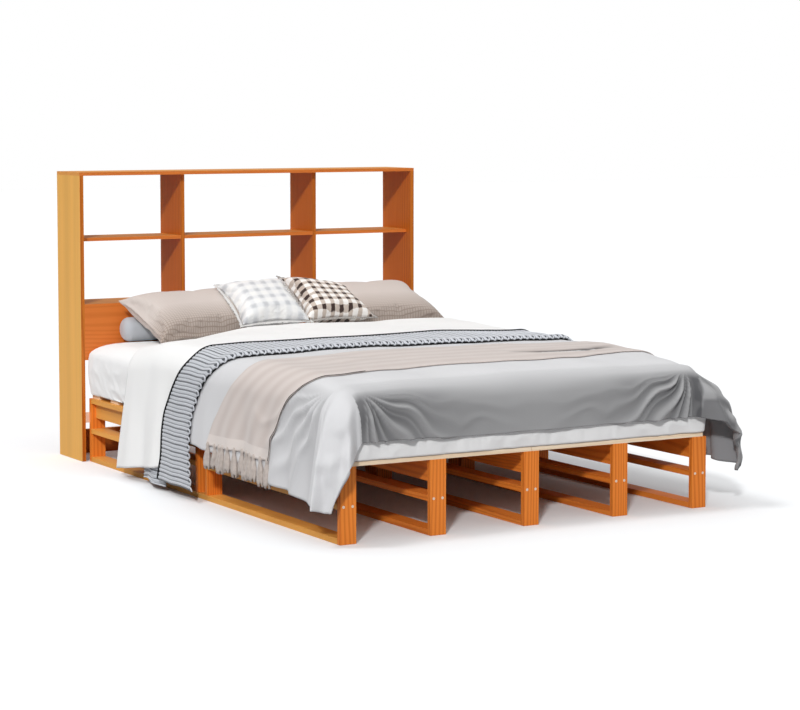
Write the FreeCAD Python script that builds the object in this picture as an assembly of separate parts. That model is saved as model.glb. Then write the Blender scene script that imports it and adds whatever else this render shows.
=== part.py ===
import FreeCAD, Part

import math
import os

# Bookcase headboard bed, made up with its mattress and bedding.
# The origin is on the floor, under the middle of the slatted base: X runs across the bed,
# +Y runs towards the headboard, +Z is up. All sizes are in millimetres.

# --- Driving dimensions -------------------------------------------------------------------

# The slatted base: five lengthwise leg frames, all cut from one size of planed pine board
base_length = 2000.0
base_width = 1400.0
board_width = 57.0
board_thickness = 18.0
slat_underside = 241.0
outer_frame_pitch = 322.5
middle_rail_top = 126.0

# Two roll-out half-width sets of slats, each held together by two woven tapes
slat_count = 12
slat_width = 70.0
slat_thickness = 13.0
slat_end_inset = 14.0
slat_centre_gap = 2.0
tape_width = 16.0
tape_thickness = 1.0
tape_inset = 160.0

# The bookcase headboard
headboard_overhang = 30.0
headboard_height = 1100.0
headboard_depth = 230.0
side_panel_thickness = 15.0
shelf_thickness = 13.0
divider_thickness = 15.0
middle_cubby_width = 562.0
front_setback = 35.0
upper_shelf_top = 850.0
lower_shelf_top = 600.0
front_panel_bottom = 387.0
front_panel_thickness = 15.0
stretcher_height = 92.0
stretcher_thickness = 15.0

# Screws
screw_head_diameter = 9.0
screw_head_thickness = 2.5
screw_shank_diameter = 4.0
frame_screw_length = 60.0
frame_screw_spacing = 32.0
short_screw_length = 14.0

# Hidden dowels: thick ones in the leg frames, thin ones in the headboard
frame_dowel_diameter = 8.0
frame_dowel_length = 34.0
frame_dowel_depth_in_face = 11.0
frame_dowel_spacing = 30.0
shelf_dowel_diameter = 6.0
shelf_dowel_length = 28.0
shelf_dowel_depth_in_face = 9.0
shelf_dowel_inset = 40.0

# Angle brackets between the headboard's sides and the outer leg frames
bracket_leg = 42.0
bracket_height = 40.0
bracket_thickness = 2.0
bracket_bottom = 148.0
bracket_screw_spacing = 22.0

# Mattress
mattress_thickness = 200.0
mattress_corner_radius = 40.0
mattress_edge_radius = 50.0

# Duvet and white quilt: one lies over the foot half, the other over the head half
cover_thickness = 26.0
cover_crown = 40.0
quilt_length = 760.0
quilt_gap_to_headboard = 340.0

# Throws laid across the covers: the knitted one lies over the place where the covers meet
knit_throw_thickness = 8.0
knit_throw_width = 280.0
knit_throw_reach_over_quilt = 140.0
fringed_throw_thickness = 4.0
fringed_throw_width = 400.0
gap_between_throws = 160.0

# Heights of the hems above the floor
duvet_side_hem = 170.0
duvet_foot_hem = 305.0
duvet_left_corner_hem = 112.0
duvet_right_corner_hem = 88.0
duvet_corner_length = 140.0
quilt_left_hem_at_foot_edge = 150.0
quilt_left_hem_at_head_edge = 22.0
quilt_right_hem = 150.0
knit_throw_left_hem = 30.0
knit_throw_right_hem = 120.0
fringed_throw_left_hem = 208.0
fringed_throw_right_hem = 230.0

# Folds of the hanging sides: how far they lean out, in millimetres for each millimetre down,
# how much each fold adds or takes away, and what the corners at the foot add
fold_pitch = 140.0
side_lean = 0.08
fold_lean = 0.045
left_corner_lean = 0.10
right_corner_lean = 0.24
corner_fold_count = 2

# Pillows, cushions and bolster. A lean is counted in degrees up from lying flat.
pillow_width = 480.0
pillow_height = 335.0
pillow_thickness = 125.0
pillow_lean_angle = 28.0
pillow_left_centre = -365.0
pillow_right_centre = 455.0
pillow_gap_to_quilt = 8.0
cushion_side = 290.0
cushion_thickness = 95.0
cushion_lean_angle = 30.0
cushion_left_centre = -95.0
cushion_right_centre = 200.0
cushion_reach_over_quilt = 30.0
seam_pull = 16.0
settling_steps = 8
bolster_diameter = 92.0
bolster_length = 330.0
bolster_end_radius = 26.0

# Clearances
soft_clearance = 0.3
throw_clearance = 0.8
fastener_clearance = 0.1

# --- Levels and places worked out from the sizes --------------------------------------------

half_length = base_length / 2
half_width = base_width / 2
end_post_inner_face = half_length - board_thickness
mid_post_outer_face = board_width / 2 + board_thickness
top_rail_bottom = slat_underside - board_thickness
web_bottom = top_rail_bottom - board_width
slat_top = slat_underside + slat_thickness
mattress_bottom = slat_top + tape_thickness + soft_clearance
mattress_top = mattress_bottom + mattress_thickness
shoulder_level = mattress_top - mattress_edge_radius
front_plane = half_length
quilt_head_edge = front_plane - quilt_gap_to_headboard
cover_meeting_line = quilt_head_edge - quilt_length
knit_throw_head_edge = cover_meeting_line + knit_throw_reach_over_quilt
fringed_throw_head_edge = knit_throw_head_edge - knit_throw_width - gap_between_throws
back_plane = front_plane + headboard_depth
setback_plane = front_plane + front_setback
outer_half_width = half_width + headboard_overhang
inner_half_width = outer_half_width - side_panel_thickness
divider_inner = middle_cubby_width / 2
divider_outer = divider_inner + divider_thickness
top_board_underside = headboard_height - shelf_thickness
frame_lefts = (
    -half_width,
    -half_width + outer_frame_pitch,
    -board_width / 2,
    half_width - outer_frame_pitch - board_width,
    half_width - board_width,
)

# --- Building blocks --------------------------------------------------------------------------


def span(x0, x1, y0, y1, z0, z1):
    """A board that fills the space between two corners, given in any order."""
    low = FreeCAD.Vector(min(x0, x1), min(y0, y1), min(z0, z1))
    return Part.makeBox(abs(x1 - x0), abs(y1 - y0), abs(z1 - z0), low)


def rod(start, along, length, diameter):
    """A round bar from a point, along a direction."""
    return Part.makeCylinder(diameter / 2, length, start, along)


def drilled(board, holes):
    """A board with those holes cut that reach into it."""
    reaching = [hole for hole in holes if hole.BoundBox.intersect(board.BoundBox)]
    return board.cut(Part.makeCompound(reaching)) if reaching else board


def save(name, solids):
    """Writes one node: one solid, or a group of like solids."""
    shape = solids[0] if len(solids) == 1 else Part.makeCompound(solids)
    shape.exportStep("parts/" + name + ".step")


def screw(seat, along, length):
    """A flat-headed screw whose head starts at its seat, and the hole that takes it."""
    under_head = seat + along * screw_head_thickness
    shank_length = length - screw_head_thickness
    head = rod(seat, along, screw_head_thickness, screw_head_diameter)
    solid = head.fuse(rod(under_head, along, shank_length, screw_shank_diameter))
    gap = fastener_clearance
    head_hole = rod(seat, along, screw_head_thickness, screw_head_diameter + 2 * gap)
    shank_hole = rod(under_head, along, shank_length + gap, screw_shank_diameter + 2 * gap)
    return solid, head_hole.fuse(shank_hole)


def dowel(face_point, along, depth_in_face, diameter, length):
    """A dowel that starts behind a joint's face, by its depth there, and its blind hole."""
    start = face_point - along * depth_in_face
    gap = fastener_clearance
    hole = rod(start - along * gap, along, length + 2 * gap, diameter + 2 * gap)
    return rod(start, along, length, diameter), hole


# --- Fasteners ----------------------------------------------------------------------------------
# Each function gives pairs of a fastener and its hole. The boards are drilled with all of them.


def frame_screw_pairs():
    """Two screws through each end upright, into the end of its middle rail."""
    pairs = []
    level = middle_rail_top - board_thickness / 2
    for left in frame_lefts:
        for end in (-1, 1):
            for side in (-1, 1):
                x = left + board_width / 2 + side * frame_screw_spacing / 2
                seat = FreeCAD.Vector(x, end * half_length, level)
                pairs.append(screw(seat, FreeCAD.Vector(0, -end, 0), frame_screw_length))
    return pairs


def frame_dowel_pairs():
    """Dowels from the uprights into the ends of the rails, and up into the middle uprights."""
    pairs = []
    size = (frame_dowel_depth_in_face, frame_dowel_diameter, frame_dowel_length)
    bottom_level = board_thickness / 2
    middle_level = middle_rail_top - board_thickness / 2
    top_level = slat_underside - board_thickness / 2
    mid_post_centre = mid_post_outer_face - board_thickness / 2
    for left in frame_lefts:
        centre = left + board_width / 2
        for end in (-1, 1):
            joints = (
                (end * end_post_inner_face, -end, bottom_level),
                (end * end_post_inner_face, -end, top_level),
                (end * mid_post_outer_face, end, middle_level),
                (end * mid_post_outer_face, end, top_level),
            )
            for side in (-1, 1):
                x = centre + side * frame_dowel_spacing / 2
                for face, toward, level in joints:
                    point = FreeCAD.Vector(x, face, level)
                    pairs.append(dowel(point, FreeCAD.Vector(0, toward, 0), *size))
            foot = FreeCAD.Vector(centre, end * mid_post_centre, board_thickness)
            pairs.append(dowel(foot, FreeCAD.Vector(0, 0, 1), *size))
    return pairs


def shelf_dowel_pairs():
    """Dowels in every joint of the headboard."""
    pairs = []
    size = (shelf_dowel_depth_in_face, shelf_dowel_diameter, shelf_dowel_length)
    inset = shelf_dowel_inset
    deep = (front_plane + inset, back_plane - inset)
    shallow = (setback_plane + inset, back_plane - inset)
    upper_level = upper_shelf_top - shelf_thickness / 2
    lower_level = lower_shelf_top - shelf_thickness / 2
    panel_centre = front_plane + front_panel_thickness / 2
    stretcher_centre = back_plane - stretcher_thickness / 2
    side_centre = outer_half_width - side_panel_thickness / 2
    divider_centre = divider_inner + divider_thickness / 2
    side_joints = [(y, upper_level) for y in shallow]
    side_joints += [(y, lower_level) for y in deep]
    side_joints += [(panel_centre, front_panel_bottom + inset), (panel_centre, lower_shelf_top - inset)]
    side_joints += [(stretcher_centre, stretcher_height / 2)]
    upright_joints = [(side_centre, y, top_board_underside, -1) for y in deep]
    upright_joints += [(divider_centre, y, top_board_underside, -1) for y in shallow]
    upright_joints += [(divider_centre, y, lower_shelf_top, 1) for y in shallow]
    # one longer dowel passes through a divider and joins the shelves on both sides of it
    depth_in_shelf = shelf_dowel_length - shelf_dowel_depth_in_face
    through_length = 2 * depth_in_shelf + divider_thickness
    for side in (-1, 1):
        inward = FreeCAD.Vector(-side, 0, 0)
        for y, z in side_joints:
            pairs.append(dowel(FreeCAD.Vector(side * inner_half_width, y, z), inward, *size))
        for x, y, z, toward in upright_joints:
            pairs.append(dowel(FreeCAD.Vector(side * x, y, z), FreeCAD.Vector(0, 0, toward), *size))
        for y in shallow:
            face = FreeCAD.Vector(side * divider_outer, y, upper_level)
            pairs.append(dowel(face, inward, depth_in_shelf, shelf_dowel_diameter, through_length))
    return pairs


def slat_screw_pairs():
    """Screws through the first and last slats, down into four of the leg frames."""
    pairs = []
    down = FreeCAD.Vector(0, 0, -1)
    for left in frame_lefts:
        centre = left + board_width / 2
        if centre == 0:
            continue
        for end in (-1, 1):
            seat = FreeCAD.Vector(centre, end * (half_length - slat_width / 2), slat_top)
            pairs.append(screw(seat, down, slat_thickness + short_screw_length))
    return pairs


def bracket_screw_pairs():
    """Two screws through each leg of each angle bracket, with their heads on the bracket."""
    pairs = []
    seat_height = bracket_thickness + screw_head_thickness
    centre = bracket_bottom + bracket_height / 2
    for side in (-1, 1):
        for step in (-1, 1):
            z = centre + step * bracket_screw_spacing / 2
            on_post = FreeCAD.Vector(side * (half_width - bracket_leg / 2), front_plane + seat_height, z)
            pairs.append(screw(on_post, FreeCAD.Vector(0, -1, 0), short_screw_length))
            on_side = FreeCAD.Vector(side * (inner_half_width - seat_height), front_plane + bracket_leg / 2, z)
            pairs.append(screw(on_side, FreeCAD.Vector(side, 0, 0), short_screw_length))
    return pairs


# --- Slatted base ---------------------------------------------------------------------------
# In each leg frame an upright stands at the foot and at the head. A bottom rail lies flat on
# the floor between them, and carries two middle uprights with one board's width between them.
# Flat middle and top rails run from the end uprights to the middle ones, in two lengths, and
# a web on edge stiffens each top rail.


def leg_frame(number, left, holes):
    right = left + board_width
    web_left = left + (board_width - board_thickness) / 2
    web_right = web_left + board_thickness
    end_posts = []
    mid_posts = []
    middle_rails = []
    top_rails = []
    top_webs = []
    for end in (-1, 1):
        outer = end * half_length
        inner = end * end_post_inner_face
        mid_outer = end * mid_post_outer_face
        mid_inner = end * board_width / 2
        middle_bottom = middle_rail_top - board_thickness
        end_posts.append(span(left, right, outer, inner, 0, slat_underside))
        mid_posts.append(span(left, right, mid_outer, mid_inner, board_thickness, slat_underside))
        middle_rails.append(span(left, right, inner, mid_outer, middle_bottom, middle_rail_top))
        top_rails.append(span(left, right, inner, mid_outer, top_rail_bottom, slat_underside))
        top_webs.append(span(web_left, web_right, inner, mid_outer, web_bottom, top_rail_bottom))
    bottom_rail = span(left, right, -end_post_inner_face, end_post_inner_face, 0, board_thickness)
    groups = {
        "end_posts": end_posts,
        "mid_posts": mid_posts,
        "bottom_rail": [bottom_rail],
        "middle_rails": middle_rails,
        "top_rails": top_rails,
        "top_webs": top_webs,
    }
    for name, boards in groups.items():
        save(f"frame_{number}_{name}", [drilled(board, holes) for board in boards])


def cross_beam():
    """A flat board in the gap between the middle uprights, and a web on edge under it."""
    half_gap = board_width / 2
    half_web = board_thickness / 2
    board = span(-half_width, half_width, -half_gap, half_gap, top_rail_bottom, slat_underside)
    web = span(-half_width, half_width, -half_web, half_web, web_bottom, top_rail_bottom)
    save("cross_board", [board])
    save("cross_web", [web])


def slats_and_tapes(holes):
    """Two rolls of slats that meet over the centre leg frame, and the tapes along their tops."""
    inner = slat_centre_gap / 2
    outer = half_width - slat_end_inset
    pitch = (base_length - slat_width) / (slat_count - 1)
    tapes = []
    for name, x0, x1 in (("slat_roll_left", -outer, -inner), ("slat_roll_right", inner, outer)):
        slats = []
        for index in range(slat_count):
            y0 = -half_length + index * pitch
            slat = span(x0, x1, y0, y0 + slat_width, slat_underside, slat_top)
            slats.append(drilled(slat, holes))
        save(name, slats)
        for centre in (x0 + tape_inset, x1 - tape_inset):
            left = centre - tape_width / 2
            right = centre + tape_width / 2
            tape_top = slat_top + tape_thickness
            tapes.append(span(left, right, -half_length, half_length, slat_top, tape_top))
    save("slat_tapes", tapes)


# --- Bookcase headboard -----------------------------------------------------------------------
# Two side panels carry a full-depth top board, a full-depth lower shelf and a front panel.
# Two dividers and an upper shelf in three pieces stand back from the front, and a stretcher
# joins the sides at the floor. The back is open.


def headboard(holes):
    outer = outer_half_width
    inner = inner_half_width
    panel_back = front_plane + front_panel_thickness
    lower_bottom = lower_shelf_top - shelf_thickness
    upper_bottom = upper_shelf_top - shelf_thickness
    stretcher_front = back_plane - stretcher_thickness
    boards = {
        "side_panel_left": (-outer, -inner, front_plane, back_plane, 0, top_board_underside),
        "side_panel_right": (inner, outer, front_plane, back_plane, 0, top_board_underside),
        "top_board": (-outer, outer, front_plane, back_plane, top_board_underside, headboard_height),
        "lower_shelf": (-inner, inner, panel_back, back_plane, lower_bottom, lower_shelf_top),
        "front_panel": (-inner, inner, front_plane, panel_back, front_panel_bottom, lower_shelf_top),
        "floor_stretcher": (-inner, inner, stretcher_front, back_plane, 0, stretcher_height),
    }
    for name, x0, x1 in (
        ("upper_shelf_left", -inner, -divider_outer),
        ("upper_shelf_middle", -divider_inner, divider_inner),
        ("upper_shelf_right", divider_outer, inner),
    ):
        boards[name] = (x0, x1, setback_plane, back_plane, upper_bottom, upper_shelf_top)
    for name, x0, x1 in (
        ("divider_left", -divider_outer, -divider_inner),
        ("divider_right", divider_inner, divider_outer),
    ):
        boards[name] = (x0, x1, setback_plane, back_plane, lower_shelf_top, top_board_underside)
    for name, corners in boards.items():
        save(name, [drilled(span(*corners), holes)])


def angle_brackets(holes):
    """One leg lies on the back of the head upright, the other on the side panel's inner face."""
    brackets = []
    top = bracket_bottom + bracket_height
    for side in (-1, 1):
        wall = side * inner_half_width
        reach = side * (half_width - bracket_leg)
        leg_face = front_plane + bracket_thickness
        post_leg = span(wall, reach, front_plane, leg_face, bracket_bottom, top)
        wall_face = wall - side * bracket_thickness
        wall_leg = span(wall, wall_face, front_plane, front_plane + bracket_leg, bracket_bottom, top)
        brackets.append(drilled(post_leg.fuse(wall_leg).removeSplitter(), holes))
    save("angle_brackets", brackets)


# --- Mattress ---------------------------------------------------------------------------------


def mattress():
    head_end = front_plane - soft_clearance
    block = span(-half_width, half_width, -half_length, head_end, mattress_bottom, mattress_top)
    uprights = [edge for edge in block.Edges if edge.BoundBox.ZLength > mattress_thickness / 2]
    block = block.makeFillet(mattress_corner_radius, uprights)
    rim = [edge for edge in block.Edges if edge.BoundBox.ZMin > mattress_top - soft_clearance]
    save("mattress", [block.makeFillet(mattress_edge_radius, rim)])


# --- Covers that hang over the mattress -----------------------------------------------------------
# Every cover has one section: a crowned top, two round shoulders and two hanging sides that lean
# out towards their hems. Folds come from how far the sides lean at each fold along the bed.
# A cover that lies on another takes the other's outer face as its inner one.


def lean_at_fold(index):
    """The lean of the left and right sides at one fold, counted from the foot."""
    swing = fold_lean if index % 2 == 0 else -fold_lean
    near_corner = max(0.0, 1 - index / corner_fold_count)
    left = side_lean + swing + near_corner * left_corner_lean
    right = side_lean - swing + near_corner * right_corner_lean
    return left, right


def lean_at(y):
    """The lean of both sides at a place along the bed, straight from fold to fold."""
    folds = max(0.0, (y + half_length) / fold_pitch)
    index = int(folds)
    share = folds - index
    before = lean_at_fold(index)
    after = lean_at_fold(index + 1)
    left = before[0] + share * (after[0] - before[0])
    right = before[1] + share * (after[1] - before[1])
    return left, right


def cover_face(y, offset, crown, hem_left, hem_right):
    """The corner points of one face of a cover, at its distance outside the mattress."""
    lean_left, lean_right = lean_at(y)
    side = half_width + offset
    radius = mattress_edge_radius + offset
    turn = radius * (1 - math.sqrt(0.5))
    top = shoulder_level + radius
    places = {
        "hem_left": (-side - lean_left * (shoulder_level - hem_left), hem_left),
        "shoulder_left": (-side, shoulder_level),
        "turn_left": (-side + turn, top - turn),
        "top_left": (-side + radius, top),
        "crown": (0.0, top + crown),
        "top_right": (side - radius, top),
        "turn_right": (side - turn, top - turn),
        "shoulder_right": (side, shoulder_level),
        "hem_right": (side + lean_right * (shoulder_level - hem_right), hem_right),
    }
    return {name: FreeCAD.Vector(x, y, z) for name, (x, z) in places.items()}


def face_edges(face):
    """A face's edges from its left hem, over the top, to its right hem."""
    flat = face["crown"].z == face["top_left"].z
    over = Part.Arc(face["top_left"], face["crown"], face["top_right"]) if not flat else None
    return [
        Part.makeLine(face["hem_left"], face["shoulder_left"]),
        Part.Arc(face["shoulder_left"], face["turn_left"], face["top_left"]).toShape(),
        Part.makeLine(face["top_left"], face["top_right"]) if flat else over.toShape(),
        Part.Arc(face["top_right"], face["turn_right"], face["shoulder_right"]).toShape(),
        Part.makeLine(face["shoulder_right"], face["hem_right"]),
    ]


def cover_section(y, offset, thickness, crowns, hems):
    """The closed section of a cover at one place along the bed."""
    inner = cover_face(y, offset, crowns[0], *hems)
    outer = cover_face(y, offset + thickness, crowns[1], *hems)
    edges = face_edges(outer)
    edges.append(Part.makeLine(outer["hem_right"], inner["hem_right"]))
    edges += [edge.reversed() for edge in reversed(face_edges(inner))]
    edges.append(Part.makeLine(inner["hem_left"], outer["hem_left"]))
    return Part.Wire(edges)


def cover(foot_edge, head_edge, offset, thickness, crowns, hems):
    """A cover between two places along the bed. hems(y) gives its left and right hem heights."""
    stations = [foot_edge]
    fold = -half_length
    while fold < head_edge:
        if fold > foot_edge:
            stations.append(fold)
        fold += fold_pitch
    stations.append(head_edge)
    sections = [cover_section(y, offset, thickness, crowns, hems(y)) for y in stations]
    return Part.makeLoft(sections, True, True)


def duvet():
    """The grey duvet. It also turns down over the foot, and its corners hang lowest."""
    foot_face = -half_length - soft_clearance

    def hems(y):
        share = max(0.0, 1 - (y - foot_face) / duvet_corner_length)
        left = duvet_side_hem - share * (duvet_side_hem - duvet_left_corner_hem)
        right = duvet_side_hem - share * (duvet_side_hem - duvet_right_corner_hem)
        return left, right

    crowns = (0.0, cover_crown)
    body = cover(foot_face, cover_meeting_line, soft_clearance, cover_thickness, crowns, hems)
    outline = cover_face(
        foot_face, soft_clearance + cover_thickness, cover_crown, duvet_foot_hem, duvet_foot_hem
    )
    edges = face_edges(outline)
    edges.append(Part.makeLine(outline["hem_right"], outline["hem_left"]))
    turned_down = Part.Face(Part.Wire(edges)).extrude(FreeCAD.Vector(0, -cover_thickness, 0))
    save("duvet", [body.fuse(turned_down).removeSplitter()])


def white_quilt():
    """The white quilt. It lies over the head half and hangs almost to the floor on the left."""
    foot_edge = cover_meeting_line + soft_clearance

    def hems(y):
        share = (y - foot_edge) / (quilt_head_edge - foot_edge)
        rise = quilt_left_hem_at_head_edge - quilt_left_hem_at_foot_edge
        return quilt_left_hem_at_foot_edge + share * rise, quilt_right_hem

    crowns = (0.0, cover_crown)
    quilt = cover(foot_edge, quilt_head_edge, soft_clearance, cover_thickness, crowns, hems)
    save("white_quilt", [quilt])
    return quilt


def throw(name, head_edge, width, thickness, hem_left, hem_right):
    """A throw laid across the covers."""
    offset = soft_clearance + cover_thickness + throw_clearance
    crowns = (cover_crown, cover_crown)
    foot_edge = head_edge - width
    save(name, [cover(foot_edge, head_edge, offset, thickness, crowns, lambda y: (hem_left, hem_right))])


# --- Pillows, cushions and bolster ------------------------------------------------------------------


def pad(width, height, thickness):
    """A crowned pad, lying flat about the origin, with pointed corners at its seam.
    Its flat sections shrink away from the seam, and their sides draw in between the corners."""
    sections = []
    for level, share in ((-1, 0.42), (-0.8, 0.68), (-0.44, 0.87), (0, 1), (0.44, 0.87), (0.8, 0.68), (1, 0.42)):
        x = width / 2 * share
        y = height / 2 * share
        z = thickness / 2 * level
        pull = seam_pull * share
        corners = ((-x, -y), (x, -y), (x, y), (-x, y))
        middles = ((0, pull - y), (x - pull, 0), (0, y - pull), (pull - x, 0))
        edges = []
        for index in range(4):
            start = FreeCAD.Vector(*corners[index], z)
            middle = FreeCAD.Vector(*middles[index], z)
            end = FreeCAD.Vector(*corners[(index + 1) % 4], z)
            edges.append(Part.Arc(start, middle, end).toShape())
        sections.append(Part.Wire(edges))
    return Part.makeLoft(sections, True, True)


def leaning(shape, lean, x, front_edge, rest_level):
    """A pad leant back about X, moved so that its lowest corners rest at a level."""
    shape.rotate(FreeCAD.Vector(0, 0, 0), FreeCAD.Vector(1, 0, 0), lean)
    bounds = shape.optimalBoundingBox(False)
    shape.translate(FreeCAD.Vector(x, front_edge - bounds.YMin, rest_level - bounds.ZMin))
    return shape


def settled(shape, support):
    """Lowers a shape until its least gap to what carries it is the soft clearance."""
    for _ in range(settling_steps):
        gap = shape.distToShape(support)[0]
        shape.translate(FreeCAD.Vector(0, 0, soft_clearance - gap))
    return shape


def cushion(x, quilt):
    """A cushion that leans back with its front edge on the quilt, and the dent that it makes."""
    front_edge = quilt_head_edge - cushion_reach_over_quilt
    quilt_peak = mattress_top + cover_thickness + cover_crown + 2 * soft_clearance
    shape = pad(cushion_side, cushion_side, cushion_thickness)
    shape = settled(leaning(shape, cushion_lean_angle, x, front_edge, quilt_peak), quilt)
    dent_side = cushion_side + 2 * soft_clearance
    dent = pad(dent_side, dent_side, cushion_thickness + 2 * soft_clearance)
    dent.Placement = shape.Placement
    return shape, dent


def pillow(x, dents):
    """A pillow leant back on the mattress, dented where the cushions press on it."""
    shape = pad(pillow_width, pillow_height, pillow_thickness)
    front_edge = quilt_head_edge + pillow_gap_to_quilt
    shape = leaning(shape, pillow_lean_angle, x, front_edge, mattress_top + soft_clearance)
    return shape.cut(Part.makeCompound(dents))


def pillows_and_cushions(quilt):
    left_cushion, left_dent = cushion(cushion_left_centre, quilt)
    right_cushion, right_dent = cushion(cushion_right_centre, quilt)
    dents = [left_dent, right_dent]
    save("pillow_left", [pillow(pillow_left_centre, dents)])
    save("pillow_right", [pillow(pillow_right_centre, dents)])
    save("patterned_cushion", [left_cushion])
    save("checked_cushion", [right_cushion])


def bolster():
    """A round bolster that lies behind the left pillow, against the front panel."""
    radius = bolster_diameter / 2
    left_end = pillow_left_centre - pillow_width / 2
    centre_y = front_plane - soft_clearance - radius
    centre_z = mattress_top + soft_clearance + radius
    start = FreeCAD.Vector(left_end, centre_y, centre_z)
    body = rod(start, FreeCAD.Vector(1, 0, 0), bolster_length, bolster_diameter)
    rims = [edge for edge in body.Edges if edge.BoundBox.XLength < soft_clearance]
    save("bolster", [body.makeFillet(bolster_end_radius, rims)])


# --- Build --------------------------------------------------------------------------------------

os.makedirs("parts", exist_ok=True)

fasteners = {
    "frame_screws": frame_screw_pairs(),
    "short_screws": slat_screw_pairs() + bracket_screw_pairs(),
    "dowels": frame_dowel_pairs() + shelf_dowel_pairs(),
}
all_holes = [hole for pairs in fasteners.values() for _, hole in pairs]

for frame_number, frame_left in enumerate(frame_lefts, start=1):
    leg_frame(frame_number, frame_left, all_holes)
cross_beam()
slats_and_tapes(all_holes)
headboard(all_holes)
angle_brackets(all_holes)
for fastener_name, fastener_pairs in fasteners.items():
    save(fastener_name, [solid for solid, _ in fastener_pairs])

mattress()
duvet()
laid_quilt = white_quilt()
throw(
    "knit_throw",
    knit_throw_head_edge,
    knit_throw_width,
    knit_throw_thickness,
    knit_throw_left_hem,
    knit_throw_right_hem,
)
throw(
    "fringed_throw",
    fringed_throw_head_edge,
    fringed_throw_width,
    fringed_throw_thickness,
    fringed_throw_left_hem,
    fringed_throw_right_hem,
)
pillows_and_cushions(laid_quilt)
bolster()
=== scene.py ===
import math

import bpy
import numpy as np
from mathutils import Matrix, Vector


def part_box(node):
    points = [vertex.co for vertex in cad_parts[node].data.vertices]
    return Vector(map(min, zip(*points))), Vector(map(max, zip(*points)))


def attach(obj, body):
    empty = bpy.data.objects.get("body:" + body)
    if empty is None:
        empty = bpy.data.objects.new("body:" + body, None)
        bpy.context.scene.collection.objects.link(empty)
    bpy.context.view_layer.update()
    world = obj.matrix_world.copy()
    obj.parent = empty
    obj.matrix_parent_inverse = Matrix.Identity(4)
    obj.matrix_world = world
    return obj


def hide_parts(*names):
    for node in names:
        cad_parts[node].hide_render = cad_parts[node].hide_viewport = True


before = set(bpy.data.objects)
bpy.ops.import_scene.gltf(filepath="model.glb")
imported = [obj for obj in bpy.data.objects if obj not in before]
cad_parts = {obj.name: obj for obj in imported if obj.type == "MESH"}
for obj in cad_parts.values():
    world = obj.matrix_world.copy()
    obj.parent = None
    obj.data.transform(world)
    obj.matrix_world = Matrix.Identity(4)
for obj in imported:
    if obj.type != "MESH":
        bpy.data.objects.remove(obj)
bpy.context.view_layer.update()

# --- The view ---
# A long lens at standing height, off the left corner of the foot, looks along the bed towards
# its headboard. The small shift holds the bed a little above the middle of the picture.


def show(name, data):
    """A new object in the scene that shows a camera, a lamp or a mesh."""
    piece = bpy.data.objects.new(name, data)
    bpy.context.scene.collection.objects.link(piece)
    return piece


look_down, look_right = 0.07662, 0.52294
view = show("view", bpy.data.cameras.new("view"))
view.data.sensor_width = 36.0
view.data.lens = 104.335
view.data.shift_y = -0.08
view.data.clip_end = 100.0
view.location = (-4.05451, -7.1874, 1.32357)
view.rotation_euler = (math.pi / 2 - look_down, 0.0, -look_right)
bpy.context.scene.camera = view
bpy.context.scene.view_settings.view_transform = "Standard"

# --- The room ---
# A plain pale floor runs out to a white distance. Light comes from the left: a low sun from a
# little in front, and a soft lamp overhead. The room's own light is brightest overhead.


def give(node, inputs):
    """Gives a node its inputs, each a value or another node's output."""
    for name, value in inputs.items():
        if isinstance(value, bpy.types.NodeSocket):
            node.id_data.links.new(value, node.inputs[name])
        else:
            node.inputs[name].default_value = value


def add_node(tree, kind, inputs=None, **settings):
    """The outputs of a new node, given its settings and inputs."""
    node = tree.nodes.new("ShaderNode" + kind)
    for name, value in settings.items():
        setattr(node, name, value)
    give(node, inputs or {})
    return node.outputs


def tree_of(*values):
    """The node tree that the outputs among the values belong to."""
    return next(value.id_data for value in values if isinstance(value, bpy.types.NodeSocket))


def calc(operation, *values, clamp=False):
    """The result of a Math node on values and other nodes' outputs."""
    given = dict(enumerate(values))
    return add_node(tree_of(*values), "Math", given, operation=operation, use_clamp=clamp)[0]


def blend(share, first, second):
    """The colour a share of the way from the first to the second, each a colour or an output."""
    ends = [end if isinstance(end, bpy.types.NodeSocket) else (*end, 1) for end in (first, second)]
    given = {"Factor": share, 6: ends[0], 7: ends[1]}
    return add_node(tree_of(share, *ends), "Mix", given, data_type="RGBA")[2]


def split(vector):
    return add_node(vector.id_data, "SeparateXYZ", {0: vector})


def new_finish(name):
    """A new material, with its node tree and its shader."""
    material = bpy.data.materials.new(name)
    material.use_nodes = True
    return material, material.node_tree, material.node_tree.nodes["Principled BSDF"]


def point_numbers(rows, columns, closed=False):
    """The numbers of a grid's points. A closed grid joins its last column to its first."""
    index = np.arange(rows * columns).reshape(rows, columns)
    return np.concatenate([index, index[:, :1]], axis=1) if closed else index


def grid_faces(index):
    """The faces between each four neighbours in a grid of point numbers."""
    corners = (index[:-1, :-1], index[:-1, 1:], index[1:, 1:], index[1:, :-1])
    return np.stack([corner.ravel() for corner in corners], axis=1)


def show_mesh(name, points, faces, body):
    """A smooth piece from its points and faces. body is what it rides on, if anything."""
    mesh = bpy.data.meshes.new(name)
    mesh.from_pydata(points, [], faces)
    mesh.shade_smooth()
    piece = show(name, mesh)
    if body:
        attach(piece, body)
    return piece


def show_surface(name, points, body, closed=False, uv=None):
    """A piece from a grid of points, with a face between each four neighbours."""
    faces = grid_faces(point_numbers(*points.shape[:2], closed))
    piece = show_mesh(name, points.reshape(-1, 3), faces, body)
    if uv is not None:
        layer = piece.data.uv_layers.new(name="cloth")
        layer.uv.foreach_set("vector", uv.reshape(-1, 2)[faces.ravel()].astype(np.float32).ravel())
    return piece


floor_side = 30.0
floor_corners = np.array([[(-1, -1, 0), (1, -1, 0)], [(-1, 1, 0), (1, 1, 0)]]) * floor_side
floor = show_surface("floor", floor_corners + np.array([0, 0, -0.0005]), None)

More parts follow.
